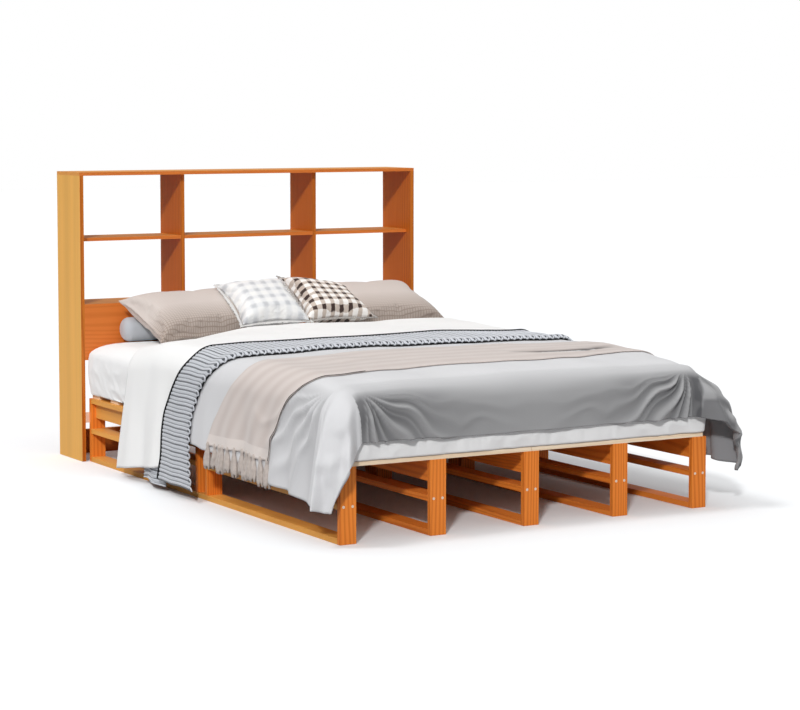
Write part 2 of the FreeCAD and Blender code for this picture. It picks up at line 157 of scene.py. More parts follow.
floor_finish, tree, shader = new_finish("floor_paint")
seen = add_node(tree, "LightPath")["Is Camera Ray"]
give(shader, {
    "Base Color": blend(seen, (0.42, 0.42, 0.43), (0.955, 0.97, 0.985)),
    "Roughness": 0.9,
    "Specular IOR Level": 0.0,
    "Emission Color": (1, 1, 1, 1),
    "Emission Strength": calc("MULTIPLY", seen, 0.004),
})
floor.data.materials.append(floor_finish)


def rescale(value, from_low, from_high, to_low=0.0, to_high=1.0):
    """A value taken from one range to another, and held inside it."""
    ranges = {"From Min": from_low, "From Max": from_high, "To Min": to_low, "To Max": to_high}
    return add_node(value.id_data, "MapRange", {"Value": value, **ranges})["Result"]


room = bpy.data.worlds.new("pale_room")
bpy.context.scene.world = room
room.use_nodes = True
tree = room.node_tree
overhead = split(add_node(tree, "TexCoord")["Generated"])["Z"]
fill = rescale(overhead, 0.0, 1.0, 0.03, 0.9)
path = add_node(tree, "LightPath")
direct = calc("MAXIMUM", path["Is Camera Ray"], path["Is Transmission Ray"])
strength = add_node(tree, "Mix", {"Factor": direct, "A": fill, "B": 1.0})["Result"]
give(tree.nodes["Background"], {"Color": (1, 1, 1, 1), "Strength": strength})

for name, energy, softness, towards in (
    ("sun", 1.7, 5.0, (0.32, 0.4, -0.3)),
    ("overhead_lamp", 0.75, 14.0, (0.6, -0.12, -1.0)),
):
    lamp = show(name, bpy.data.lights.new(name, "SUN"))
    lamp.data.energy = energy
    lamp.data.angle = math.radians(softness)
    lamp.rotation_euler = Vector(towards).to_track_quat("-Z", "Y").to_euler()

# --- Pine boards of the leg frames ---
# Every board is planed pine, stained honey and waxed. Its rings show as dark lines along the
# grain, with the odd knot, and the grain runs the long way of each board.


def stretch(place, scale):
    return add_node(place.id_data, "Mapping", {"Vector": place, "Scale": scale})[0]


def on_vector(operation, vector, other, key=1):
    """The result of a VectorMath node on a vector and one other input."""
    return add_node(vector.id_data, "VectorMath", {0: vector, key: other}, operation=operation)[0]


def times(vector, share):
    return on_vector("SCALE", vector, share, "Scale")


def noise(place, scale, detail=2.0):
    return add_node(place.id_data, "TexNoise", {"Vector": place, "Scale": scale, "Detail": detail})


def warped(place, noise_scale, reach):
    """A place that noise moves by up to half of reach each way."""
    shift = on_vector("SUBTRACT", noise(place, noise_scale)["Color"], (0.5, 0.5, 0.5))
    return on_vector("ADD", place, times(shift, reach))


def shader_group(name, inputs, outputs):
    """A new node group, what it is given, and the node that takes its results."""
    group = bpy.data.node_groups.new(name, "ShaderNodeTree")
    for way, sockets in (("INPUT", inputs), ("OUTPUT", outputs)):
        for title, kind in sockets.items():
            group.interface.new_socket(title, in_out=way, socket_type="NodeSocket" + kind)
    return group, group.nodes.new("NodeGroupInput").outputs, group.nodes.new("NodeGroupOutput")


def pine_grain():
    """Rings round the X axis, stretched along it and bent by slow noise, with fine fibres. Some
    cells of a loose lattice hold a dark knot."""
    group, given, result = shader_group(
        "pine_grain",
        {"Vector": "Vector", "Light": "Color", "Dark": "Color", "Knots": "Float"},
        {"Color": "Color", "Height": "Float", "Roughness": "Float"},
    )
    drawn_out = stretch(given["Vector"], (0.1, 1, 1))
    wave = {"Scale": 30.0, "Distortion": 2.4, "Detail": 2.0, "Detail Scale": 0.4}
    wave["Vector"] = warped(drawn_out, 5.0, 0.1)
    rings = add_node(group, "TexWave", wave, wave_type="RINGS", rings_direction="X")["Fac"]
    ramp = group.nodes.new("ShaderNodeValToRGB")
    give(ramp, {"Fac": rings})
    ramp.color_ramp.elements[0].position = 0.35
    ramp.color_ramp.elements[1].position = 0.95
    late = ramp.outputs["Color"]
    fibre = noise(stretch(given["Vector"], (0.025, 1, 1)), 380.0)["Fac"]
    tone = noise(drawn_out, 3.2, 1.0)["Fac"]
    cell = stretch(given["Vector"], (2.1, 6.0, 6.0))
    knot = add_node(group, "TexVoronoi", {"Vector": cell, "Scale": 1.0})
    chance = add_node(group, "SeparateColor", {"Color": knot["Color"]})["Red"]
    knotty = rescale(knot["Distance"], 0.05, 0.13, 1.0, 0.0)
    knotty = calc("MULTIPLY", knotty, calc("GREATER_THAN", chance, 0.74))
    knotty = calc("MULTIPLY", knotty, given["Knots"])
    share = calc("MULTIPLY", late, 0.42)
    share = calc("MULTIPLY_ADD", fibre, 0.3, share)
    share = calc("MULTIPLY_ADD", tone, 0.5, share)
    share = calc("SUBTRACT", share, 0.22, clamp=True)
    wood = blend(share, given["Light"], given["Dark"])
    dark_knot = blend(0.65, given["Dark"], (0.05, 0.012, 0.004))
    give(result, {
        "Color": blend(knotty, wood, dark_knot),
        "Height": calc("ADD", fibre, late),
        "Roughness": rescale(fibre, 0.0, 1.0, 0.34, 0.52),
    })
    return group


grain = pine_grain()
# turns that bring each board's long way onto the X axis of the grain
grain_turns = {"x": (0, 0, 0), "y": (0, 0, math.pi / 2), "z": (0, math.pi / 2, 0)}


def painted_light_tone(tone, place, painted_light_colour):
    """Painted light: a paler tone on faces to the left and above, which face the sun, in streaks along the
    grain.
    """
    facing = split(add_node(tone.id_data, "TexCoord")["Normal"])
    towards = calc("MAXIMUM", calc("MULTIPLY", facing["X"], -1.0), facing["Z"])
    streak = noise(stretch(place, (0.03, 1, 1)), 26.0)["Fac"]
    painted_lit_faces = times(blend(0.78, tone, painted_light_colour), rescale(streak, 0.3, 0.7, 1.07, 0.95))
    return blend(calc("GREATER_THAN", towards, 0.5), tone, painted_lit_faces)


def pine(name, along, light, dark, knots=0.0, place=(0.0, 0.0, 0.0), painted_light_colour=None):
    """Waxed pine with its grain along one axis. place moves the rings' centre off the board, and
    the last argument is the paler tone painted on its faces to the left and above, as painted sunlight."""
    material, tree, shader = new_finish(name)
    where = add_node(tree, "TexCoord")["Object"]
    turn = {"Vector": where, "Rotation": grain_turns[along], "Location": place}
    turned = add_node(tree, "Mapping", turn)[0]
    stain = {"Vector": turned, "Light": (*light, 1), "Dark": (*dark, 1), "Knots": knots}
    wood = add_node(tree, "Group", stain, node_tree=grain)
    bump = {"Height": wood["Height"], "Strength": 0.25, "Distance": 0.0005}
    give(shader, {
        "Base Color": painted_light_tone(wood["Color"], turned, painted_light_colour) if painted_light_colour else wood["Color"],
        "Roughness": wood["Roughness"],
        "Specular IOR Level": 0.3,
        "Normal": add_node(tree, "Bump", bump)[0],
    })
    return material


def dress(material, *names):
    """Gives CAD nodes a finish."""
    for name in names:
        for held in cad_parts[name].material_slots:
            held.material = material


# The rails and webs of frame 1 take a paler tone on faces to the left and above: painted light.
honey, honey_painted_light = ((1.0, 0.31, 0.045), (0.62, 0.125, 0.01)), (0.82, 0.42, 0.09)
for number in range(1, 6):
    across = 0.35 * number
    painted_lit_faces = honey_painted_light if number == 1 else None
    post_pine = pine(f"post_pine_{number}", "z", *honey, 1.0, (across, 0.13, across))
    rail_pine = pine(f"rail_pine_{number}", "y", *honey, 1.0, (across, 0.05, 0.12), painted_lit_faces)
    dress(post_pine, f"frame_{number}_end_posts", f"frame_{number}_mid_posts")
    for part in ("bottom_rail", "middle_rails", "top_rails", "top_webs"):
        dress(rail_pine, f"frame_{number}_{part}")
dress(pine("cross_pine", "x", *honey, 1.0, (0.0, 0.06, 0.1)), "cross_board", "cross_web")

# --- Slats and their tapes ---
# The slats are plain planed pine, neither stained nor waxed, so they are much paler than the
# frames. Two woven cotton tapes hold each roll of them together.

slat_pine = pine("slat_pine", "x", (1.0, 0.84, 0.64), (0.86, 0.62, 0.4), 0.5, (0.0, 0.02, 0.2))
dress(slat_pine, "slat_roll_left", "slat_roll_right")


def weave_pattern():
    """Threads over and under: the product of two sines of the place, one thread apart."""
    group, given, result = shader_group(
        "plain_weave", {"Vector": "Vector", "Threads per metre": "Float"}, {"Height": "Float"}
    )
    turn = calc("MULTIPLY", given["Threads per metre"], math.pi)
    place = split(times(given["Vector"], turn))
    product = calc("MULTIPLY", calc("SINE", place[0]), calc("SINE", place[1]))
    give(result, {"Height": calc("MULTIPLY_ADD", product, 0.5, 0.5)})
    return group


weave = weave_pattern()


def cloth_finish(
    name, colour, shade, threads, coords="UV", patch=9.0, sheen=0.25, bump_depth=0.0006, pattern=None
):
    """Woven cloth: a thread pattern, and a colour that wanders a little between two shades. A
    pattern over it is a function of the node tree and of the plain colour."""
    material, tree, shader = new_finish(name)
    where = add_node(tree, "TexCoord")[coords]
    plain = blend(noise(where, patch, 4.0)["Fac"], colour, shade)
    woven = add_node(tree, "Group", {"Vector": where, "Threads per metre": threads}, node_tree=weave)
    bump = {"Height": woven["Height"], "Strength": 0.35, "Distance": bump_depth}
    give(shader, {
        "Base Color": pattern(tree, plain) if pattern else plain,
        "Roughness": 0.85,
        "Specular IOR Level": 0.2,
        "Sheen Weight": sheen,
        "Normal": add_node(tree, "Bump", bump)[0],
    })
    return material


dress(cloth_finish("tape_cotton", (0.8, 0.77, 0.7), (0.72, 0.68, 0.6), 500, "Object"), "slat_tapes")

# --- Bookcase headboard ---
# Wide glued-up pine boards, finished as the frames are. The sides and dividers have upright
# grain, and the shelves, top, front panel and stretcher have grain across the bed.

panel = (0.66, 0.185, 0.016), (0.36, 0.07, 0.004)
# The left side panel and the shelves take a paler tone on faces to the left and above: painted light.
side_pine = pine("side_pine", "z", *panel, 0.4, (0.3, 0.0, 0.1), (0.97, 0.55, 0.13))
divider_pine = pine("divider_pine", "z", *panel, 0.4, (0.2, 0.1, 0.3))
shelf = (0.76, 0.21, 0.036), (0.62, 0.15, 0.02)
shelf_pine = pine("shelf_pine", "x", *shelf, 0.4, (0.0, 0.11, 0.25), (0.78, 0.37, 0.085))
dress(side_pine, "side_panel_left")
dress(divider_pine, "divider_left", "divider_right", "side_panel_right")
dress(shelf_pine, "top_board", "lower_shelf", "front_panel", "floor_stretcher")
dress(shelf_pine, "upper_shelf_left", "upper_shelf_middle", "upper_shelf_right")

# --- Screws, brackets and dowels ---
# Zinc-plated steel screws show in pairs on the foot posts. Angle brackets hold the headboard,
# and beech dowels hide in the joints.

zinc, tree, shader = new_finish("zinc_plate")
spangle = noise(add_node(tree, "TexCoord")["Object"], 900.0)["Fac"]
rubbed = rescale(spangle, 0.0, 1.0, 0.3, 0.55)
give(shader, {"Base Color": (0.95, 0.78, 0.64, 1), "Metallic": 0.25, "Roughness": rubbed})
dress(zinc, "frame_screws", "short_screws", "angle_brackets")
dress(pine("dowel_beech", "y", (0.78, 0.55, 0.34), (0.62, 0.4, 0.22)), "dowels")

# --- Mattress ---
# A foam mattress in a white fitted sheet. The sheet is drawn under it, so it is smooth on top,
# and puckers a little down the sides and round the corners.


def soft_noise(x, y, cell, seed):
    """Random heights from -1 to 1 on a square lattice, blended smoothly between its points."""
    table = np.random.default_rng(seed).uniform(-1, 1, (64, 64))
    across, along = x / cell, y / cell
    i, j = np.floor(across).astype(int), np.floor(along).astype(int)
    u, v = across - i, along - j
    u, v = u * u * (3 - 2 * u), v * v * (3 - 2 * v)
    near = table[i % 64, j % 64] * (1 - u) + table[(i + 1) % 64, j % 64] * u
    far = table[i % 64, (j + 1) % 64] * (1 - u) + table[(i + 1) % 64, (j + 1) % 64] * u
    return near * (1 - v) + far * v


def rounded_outline(half_width, half_length, radius, count):
    """Evenly spaced places round a rectangle with round corners, and the directions outwards."""
    straight_x, straight_y = 2 * (half_width - radius), 2 * (half_length - radius)
    arc = radius * math.pi / 2
    ends = np.cumsum([0, straight_x, arc, straight_y, arc, straight_x, arc, straight_y, arc])
    s = np.linspace(0, ends[-1], count, endpoint=False)
    turn = np.interp(s, ends, np.array([-1, -1, 0, 0, 1, 1, 2, 2, 3]) * math.pi / 2)
    inner_x = np.interp(s, ends, np.array([-1, 1, 1, 1, 1, -1, -1, -1, -1]) * straight_x / 2)
    inner_y = np.interp(s, ends, np.array([-1, -1, -1, 1, 1, 1, 1, -1, -1]) * straight_y / 2)
    outward = np.stack([np.cos(turn), np.sin(turn)], axis=1)
    return np.stack([inner_x, inner_y], axis=1) + radius * outward, outward, s


def filled_in(rim, count):
    """Rings that shrink evenly from a rim to its middle, and the share that each is of it."""
    share = np.linspace(1, 0.001, count + 1)[1:]
    return rim[None] * np.stack([share, share, np.ones(count)], axis=1)[:, None, :], share


mattress_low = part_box("mattress")[0]
mattress_height, half_width, half_length, corner_radius = 0.2, 0.7, 0.99985, 0.022
under_round, lid_round, lid_reach, foot_bulge = 0.008, 0.055, 0.085, 0.01
edge_turn = np.linspace(0, math.pi / 2, 9)[1:]
upright = np.linspace(0.012, 0.143, 22)
from_side, from_level = 1 - np.cos(edge_turn), 1 - np.sin(edge_turn)
inset = np.concatenate([[0.038, under_round], under_round * from_level, 0 * upright, lid_reach * from_side])
level = np.concatenate([[0, 0], under_round * from_side, upright, mattress_height - lid_round * from_level])
bulge = 0.008 * np.sin(np.clip(level / mattress_height, 0, 1) * math.pi)
outlines = [
    rounded_outline(half_width + out, half_length + out, corner_radius - min(out, 0) * 0.6, 900)
    for out in bulge - inset
]
ring, outward, round_place = (np.stack(parts) for parts in zip(*outlines))
down = 1 - level / mattress_height
pucker = soft_noise(round_place, level[:, None] * 0.35, 0.022, 3)
pucker = pucker * 0.004 * (np.sin(level / mattress_height * math.pi) * 0.6 + down * 0.6)[:, None]
slanted = round_place + 0.35 * level[:, None]
pucker += 0.008 * soft_noise(slanted, level[:, None], 0.07, 4) * down[:, None]
ring = ring - np.abs(pucker)[:, :, None] * outward
ring[..., 1] -= foot_bulge * (ring[..., 1] < 0)
sides = np.dstack([ring, np.broadcast_to(level[:, None] + mattress_low.z, ring.shape[:2])])
lid, lid_share = filled_in(sides[-1], 39)
stretched = np.minimum(1, 8 * (1 - lid_share))[:, None]
lid[..., 2] += 0.0015 * soft_noise(lid[..., 0], lid[..., 1], 0.11, 5) * stretched
base = filled_in(sides[0], 8)[0][::-1]
mattress = show_surface("mattress_in_sheet", np.concatenate([base, sides, lid]), "root", closed=True)
mattress.data.materials.append(
    cloth_finish("white_sheeting", (0.93, 0.93, 0.925), (0.89, 0.89, 0.89), 900, "Object", bump_depth=0.0003)
)
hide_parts("mattress")

# --- Duvet ---
# A light grey duvet lies over the foot half. It rolls over the mattress's edge, its corners hang
# lowest, and pleats run from the corners across the foot. Its head edge is under the throw.

half_x, half_y, shoulder = 0.628, 0.925, 0.097
pleat_start = 0.05


def eased(t, places, values, reach):
    """Straight lines between given values, averaged over a short reach either side."""
    steps = np.linspace(-reach, reach, 7)
    return np.mean([np.interp(t + step, places, values) for step in steps], axis=0)


def bed_top(x, y):
    """The level of the covers over the mattress: low at the foot, with a slight crown. They lie
    nearly flat on the mattress at the head on the left, where the pillow's corner is on them."""
    places = [-0.925, -0.86, -0.71, -0.56, -0.44, -0.18, 0.02, 0.23, 0.44, 0.6, 0.66]
    levels = [0.478, 0.49, 0.503, 0.508, 0.511, 0.505, 0.509, 0.515, 0.519, 0.52, 0.478]
    crown = 0.01 * (1 - (x / half_x) ** 2)
    rolling = 0.0045 * soft_noise(x, y, 0.27, 11) + 0.0022 * soft_noise(x + 0.7 * y, y, 0.1, 12)
    dip_x, dip_y = np.clip((-x - 0.2) / 0.36, 0, 1), np.clip((y - 0.3) / 0.3, 0, 1)
    dip = 0.046 * dip_x**2 * (3 - 2 * dip_x) * dip_y**2 * (3 - 2 * dip_y)
    return np.maximum(eased(y, places, levels, 0.03) + crown + rolling - dip, 0.471)


def crests(t, rows):
    """Rounded ridges along a line, each given as its place, its half width and its height."""
    return sum(height * np.exp(-(((t - place) / width) ** 2)) for place, width, height in rows)


left_folds = [
    (-0.93, 0.05, 0.03), (-0.87, 0.03, -0.02), (-0.81, 0.045, 0.04), (-0.74, 0.03, -0.02),
    (-0.67, 0.045, 0.04), (-0.6, 0.03, -0.02), (-0.52, 0.04, 0.03), (-0.42, 0.04, -0.03),
    (-0.33, 0.04, 0.03), (-0.22, 0.04, -0.015), (-0.12, 0.05, 0.02), (-0.05, 0.04, -0.008),
    (0.1, 0.05, 0.01), (0.27, 0.05, 0.035), (0.38, 0.04, -0.025), (0.5, 0.05, 0.03),
]
right_folds = [(-y * 0.93 - 0.2, w, h) for y, w, h in left_folds[4:]]
right_folds += [(-0.9, 0.05, 0.08), (-0.8, 0.04, -0.03)]
foot_folds = [
    (-0.45, 0.05, 0.05), (-0.2, 0.06, -0.04), (0.05, 0.07, 0.04), (0.3, 0.06, -0.03), (0.48, 0.05, 0.04),
]
corner_folds = [(0.25, 0.09, -0.3), (0.45, 0.09, 0.16), (1.1, 0.1, 0.2), (1.32, 0.09, -0.15)]
foot_pleats = [
    (0.2, 0.045, 0.01), (0.33, 0.035, 0.011), (0.52, 0.06, 0.021), (0.68, 0.025, 0.007),
    (0.88, 0.07, 0.023), (1.1, 0.035, 0.01), (1.3, 0.06, 0.019), (1.46, 0.03, 0.008),
]
side_pleats = [(0.45, 0.05, 0.01), (0.72, 0.06, 0.017), (0.98, 0.06, 0.015), (1.24, 0.06, 0.013)]


def fan(past, inwards, rows, reach_far):
    """How far the pleats of one face stand out: ridges along rays from its upper corner, bent by
    slow noise. They begin a little below the corner, and fade out across the face."""
    ray = np.arctan2(past, inwards) + 0.1 * soft_noise(past + 2, inwards + 2, 0.09, 31)
    reach = np.hypot(inwards, past)
    fade = np.minimum(reach / 0.1, 1) * np.exp(-((reach / reach_far) ** 2)) * np.minimum(past / 0.05, 1)
    return crests(ray, rows) * fade


def foot_fan(p, q):
    past = np.maximum(-q - half_y - pleat_start, 0)
    return fan(past, half_x - np.clip(np.abs(p), 0, half_x), foot_pleats, 0.45)


def side_fan(p, q):
    past = np.maximum(np.abs(p) - half_x - pleat_start, 0)
    return fan(past, np.clip(q + half_y, 0, 2), side_pleats, 0.42)


def crumpled(p, q):
    return soft_noise(p + 0.4 * q, q - 0.3 * p, 0.042, 23)


def drape(p, q, lift=0.0):
    """Where a place on a flat cover comes to lie. p and q are measured across and along it from
    the bed's centre. Past the mattress's inner rectangle the cloth rolls over a shoulder of one
    radius, then hangs, leaning out by a slope that the folds change from place to place. Past
    both edges at once it wraps the corner: on the left its tip swings round to the diagonal. It
    bulges, and curls in again by a curl times the square of its fall. lift is how far the surface
    lies outside the covers' own face."""
    on_left = p < 0
    past_side = np.maximum(np.abs(p) - half_x, 0)
    past_foot = np.maximum(-q - half_y, 0)
    past = np.hypot(past_side, past_foot)
    turn = np.arctan2(past_foot, past_side)
    turn = turn + np.where(on_left, 0.277, 0.0) * np.sin(2 * turn)
    radius = shoulder + lift
    bend = np.minimum(past / radius, math.pi / 2)
    hang = np.maximum(past - radius * math.pi / 2, 0)
    fall = np.maximum(past - 0.6 * shoulder, 0) ** 2 / np.maximum(past, 1e-6)
    x0, y0 = np.clip(p, -half_x, half_x), np.maximum(q, -half_y)
    side_slope = 0.09 + np.where(on_left, crests(y0, left_folds), crests(y0, right_folds))
    foot_slope = 0.02 + crests(x0, foot_folds)
    corner = np.abs(np.sin(2 * turn)) ** 1.5
    slope = np.cos(turn) ** 2 * side_slope + np.sin(turn) ** 2 * foot_slope
    slope = slope + corner * (np.where(on_left, 0.53, 0.97) + crests(turn, corner_folds))
    leaning = slope * fall - corner * np.where(on_left, 1.1, 2.3) * fall**2
    pleats = foot_fan(p, q) * np.sin(turn) ** 2 + side_fan(p, q) * np.cos(turn) ** 2
    crumple = corner * np.where(on_left, 0.007, 0.015) * crumpled(p, q)
    creases = 0.0025 * soft_noise(y0 * 1.3 + x0, past * 0.5, 0.09, 21) * np.minimum(past / 0.15, 1)
    out = radius * np.sin(bend) + leaning + pleats + creases + crumple
    drop = radius * (1 - np.cos(bend)) + hang / np.sqrt(1 + (leaning / (hang + 0.1)) ** 2)
    x = x0 + np.sign(p) * out * np.cos(turn)
    y = y0 - out * np.sin(turn)
    z = bed_top(x0, y0) + lift - drop
    return np.stack([x, y, z], axis=-1)


def stepped(stops, steps):
    """Shares from 0 to 1 that divide each stretch between two stops into its own even steps."""
    places = np.interp(np.arange(sum(steps) + 1), np.cumsum([0, *steps]), stops)
    return (places - places[0]) / (places[-1] - places[0])


def even(columns, rows):
    return np.linspace(0, 1, columns), np.linspace(0, 1, rows)


def add_wall(piece, thickness, offset):
    """Gives a surface its thickness: inwards at an offset of -1, and both ways at 0."""
    wall = piece.modifiers.new("thickness", "SOLIDIFY")
    wall.thickness = thickness
    wall.offset = offset


def laid_cover(name, left, right, foot, head, lift, thickness, shares, slip=None):
    """A cover between four edges: left and right give p along it, foot and head give q across it.
    The flat places are shares between the edges, and drape() lays them on the bed. The cloth's
    own measure is p across it, and the distance from its foot edge along it."""
    a, b = np.meshgrid(*shares)
    p = left(0) * (1 - a) + right(0) * a
    q = foot(p) * (1 - b) + head(p) * b
    p = left(q) * (1 - a) + right(q) * a
    points = drape(p, q, lift if slip is None else lift + slip(a, b))
    flat = np.stack([p, b * float(np.mean(head(p) - foot(p)))], axis=-1)
    cover = show_surface(name, points, "root", uv=flat)
    add_wall(cover, thickness, -1.0)
    return cover, points, flat


def straight(place):
    """An edge that stays at one place."""
    return lambda others: place + 0 * np.asarray(others)


def meeting_edge(place):
    """The edge where duvet and quilt meet under the throw: it nears the head where it hangs."""
    return lambda p: place + 0.16 * np.clip((np.abs(p) - 0.72) / 0.3, 0, 1)


def duvet_left(q):
    places = [-1.15, -1.1, -1.0, -0.9, -0.65, -0.45, -0.2]
    return -np.interp(q, places, [1.0, 1.025, 1.053, 1.053, 1.045, 1.02, 1.0])


def measured(tree):
    """The cloth's own measure, across it and along it."""
    return split(add_node(tree, "UVMap")[0])[:2]


def read(tree, name, kind="Fac"):
    """What the piece keeps at each point under a name."""
    return add_node(tree, "Attribute", attribute_name=name)[kind]


def cotton_with_painted_shade(tree, plain):
    """Painted shade: darker on the panel that hangs at the foot, and darkest in the hollows."""
    across, along = measured(tree)
    panel = rescale(across, -0.7, -0.6)
    panel = calc("MULTIPLY", panel, rescale(along, 0.12, 0.25, 1.0, 0.0))
    shaded = blend(panel, plain, (0.35, 0.35, 0.355))
    return blend(read(tree, "hollow_painted_shade"), shaded, (0.1, 0.1, 0.105))


def keep(piece, name, values, kind="FLOAT", field="value"):
    """Keeps a measure at each of a piece's points, for its finish to read."""
    own = piece.data.attributes.new(name, kind, "POINT")
    own.data.foreach_set(field, values.astype(np.float32).ravel())


def painted_shade_of_hollows(p, q):
    """How much painted shade the duvet takes between its pleats and in the dents of its right corner."""
    p, q = p.ravel(), q.ravel()
    side, foot = np.abs(p) - half_x, -q - half_y
    near_corner = np.hypot(side, foot)
    on_foot = np.exp(-((near_corner / 0.3) ** 2)) * (side < 0.04)
    on_foot = on_foot * np.clip((foot - pleat_start) / 0.05, 0, 1)
    on_side = np.exp(-((near_corner / 0.34) ** 2)) * (foot < 0)
    on_side = on_side * np.clip((side - pleat_start) / 0.05, 0, 1)
    share = np.clip(1.15 * on_foot * (1 - foot_fan(p, q) / 0.01), 0, 0.85)
    at_corner = np.clip(np.minimum(np.maximum(p - half_x, 0), np.maximum(foot, 0)) / 0.05, 0, 1)
    share = share + at_corner * np.clip(0.1 - 1.3 * crumpled(p, q), 0, 0.7)
    return share + np.clip(0.4 * on_side * (1 - side_fan(p, q) / 0.01), 0, 0.4)


duvet_foot = 1.15
across_steps = stepped([-1.0, -0.66, -0.28, 0.28, 0.66, 1.0], [42, 78, 50, 78, 42])
duvet_shares = across_steps, stepped([0, 0.3, 1.06], [88, 60])
duvet_ends = (lambda p: -duvet_foot - 0.01 * np.cos(3 * p)), meeting_edge(-0.09)
duvet, _, duvet_flat = laid_cover(
    "grey_duvet", duvet_left, straight(1.0), *duvet_ends, 0.0, 0.012, duvet_shares
)
# The duvet's finish paints shade on its foot panel and in its hollows.
keep(duvet, "hollow_painted_shade", painted_shade_of_hollows(duvet_flat[..., 0], duvet_flat[..., 1] - duvet_foot))
smooth = {"patch": 5.0, "bump_depth": 0.0003}
# The inner face is dark grey: painted shade for the shadow under the hanging cloth.
outer, underside_in_painted_shade = ((0.7, 0.7, 0.71), (0.62, 0.62, 0.635)), ((0.3, 0.3, 0.31), (0.26, 0.26, 0.27))
duvet.data.materials.append(cloth_finish("grey_cotton", *outer, 700, **smooth, pattern=cotton_with_painted_shade))
duvet.data.materials.append(cloth_finish("grey_underside_painted_shade", *underside_in_painted_shade, 700, patch=5.0))
duvet.modifiers["thickness"].material_offset = 1
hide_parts("duvet")

# --- White quilt ---
# A white quilt lies over the head half, turned down in front of the pillows. On the left it
# hangs almost to the floor.


def quilt_left(q):
    return -np.interp(q, [-0.08, 0.21, 0.25, 0.35, 0.6, 0.66], [1.04, 1.11, 1.12, 1.132, 1.124, 1.105])


def quilt_head(p):
    places = [-1.2, -1.0, -0.85, -0.7, -0.45, 0, 0.5, 0.7, 0.85, 1.1]
    return eased(p, places, [0.6, 0.6, 0.58, 0.56, 0.625, 0.665, 0.665, 0.64, 0.62, 0.62], 0.03)


quilt_edges = quilt_left, straight(1.04), meeting_edge(-0.085), quilt_head
quilt, _, _ = laid_cover("white_quilt_cover", *quilt_edges, 0.0, 0.012, even(260, 90))
quilt.data.materials.append(
    cloth_finish("white_cotton", (0.91, 0.91, 0.9), (0.88, 0.88, 0.875), 700, **smooth)
)
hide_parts("white_quilt")

# --- Knitted throw ---
# A grey-blue throw, knitted in ribs that run from edge to edge. Each pair of ribs is one loop,
# round at the foot edge, over a black edging. A black cord is sewn along the head edge.

rib_pitch, loop_depth = 0.0137, 0.0137
knit_ends = np.round(np.array([-1.165, 1.065]) / (2 * rib_pitch)) * 2 * rib_pitch + rib_pitch
knit_sides = straight(knit_ends[0]), straight(knit_ends[1])
knit_columns = int(round((knit_ends[1] - knit_ends[0]) / rib_pitch)) * 7 + 1


def knit_foot(p):
    places = [-1.17, -1.13, -1.0, -0.915, -0.825, -0.739, -0.65, -0.3, 0, 0.6, 0.8, 1.07]
    levels = [-0.083, -0.052, -0.024, -0.029, -0.074, -0.153, -0.21, -0.235, -0.24, -0.24, -0.2, -0.1]
    return eased(p, places, levels, 0.02)


def knit_head(p):
    places = [-1.17, -1.084, -0.999, -0.928, -0.832, -0.724, -0.6, -0.31, 0.04, 0.28, 0.6, 0.8, 1.07]
    levels = [0.2, 0.189, 0.199, 0.19, 0.127, 0.041, 0.035, 0.03, 0.045, 0.04, 0.04, 0.08, 0.18]
    return eased(p, places, levels, 0.02)


def looped_foot(p):
    """The foot edge, drawn back between loops: each loop ends in half a circle, flattened."""
    along_loop = 2 * np.abs(p / (2 * rib_pitch) % 1 - 0.5)
    return knit_foot(p) + loop_depth * (1 - np.sqrt(np.maximum(1 - along_loop**2, 0)))


def rib_height(p):
    return 0.0036 * np.abs(np.sin(p * math.pi / rib_pitch)) ** 0.7


def edge_roll(p, b):
    """On top the foot edge is thick: it stands off the duvet, then rolls down to it. Where the
    throw hangs it is flat."""
    on_top = np.clip((0.86 - np.abs(p)) / 0.2, 0, 1)
    return 0.009 * on_top * np.interp(b, [0, 0.02, 0.04, 0.06, 0.1, 0.35], [0, 0.45, 0.8, 0.97, 1, 0])


def knit_face(a, b):
    """How far the knit stands out at a share a across the throw and b along it."""
    p = knit_ends[0] + (knit_ends[1] - knit_ends[0]) * a
    return rib_height(p) + edge_roll(p, b)


knit_shares = np.linspace(0, 1, knit_columns), stepped([0, 0.03, 0.28], [10, 16])
knit, _, _ = laid_cover(
    "knit_throw_cloth", *knit_sides, looped_foot, knit_head, 0.007, 0.004, knit_shares, knit_face
)


def knit_stitches(tree, plain):
    """Dotted dark lines between ribs. Inside a loop the line ends in an eye near the foot edge."""
    across, inwards = measured(tree)
    loops = calc("ADD", calc("MULTIPLY", across, 1 / (2 * rib_pitch)), 100.0)
    off_middle = calc("ABSOLUTE", calc("SUBTRACT", calc("FRACT", loops), 0.5))
    from_middle = calc("MULTIPLY", off_middle, 2 * rib_pitch)
    from_end = calc("SUBTRACT", rib_pitch, from_middle)
    past_eye = calc("MULTIPLY", calc("SUBTRACT", inwards, 0.0115), 0.65)
    squares = [calc("POWER", side, 2.0) for side in (from_middle, past_eye)]
    eye = calc("LESS_THAN", calc("SQRT", calc("ADD", *squares)), 0.0048)
    inner_line = calc("LESS_THAN", from_middle, 0.003)
    inner_line = calc("MULTIPLY", inner_line, calc("GREATER_THAN", past_eye, 0.0))
    outer_line = calc("MULTIPLY", calc("LESS_THAN", from_end, 0.002), 0.75)
    stitches = calc("SINE", calc("MULTIPLY", inwards, 2 * math.pi / 0.0055))
    dotted = calc("MULTIPLY_ADD", stitches, 0.22, 0.76)
    lines = calc("MULTIPLY", calc("MAXIMUM", inner_line, outer_line), dotted)
    dark_share = calc("MAXIMUM", lines, calc("MULTIPLY", eye, 0.95))
    return blend(dark_share, plain, (0.035, 0.04, 0.05))


greys = (0.62, 0.64, 0.68), (0.54, 0.56, 0.6)
knit_yarn = cloth_finish("grey_blue_knit", *greys, 380, patch=14.0, sheen=0.3, pattern=knit_stitches)
knit.data.materials.append(knit_yarn)


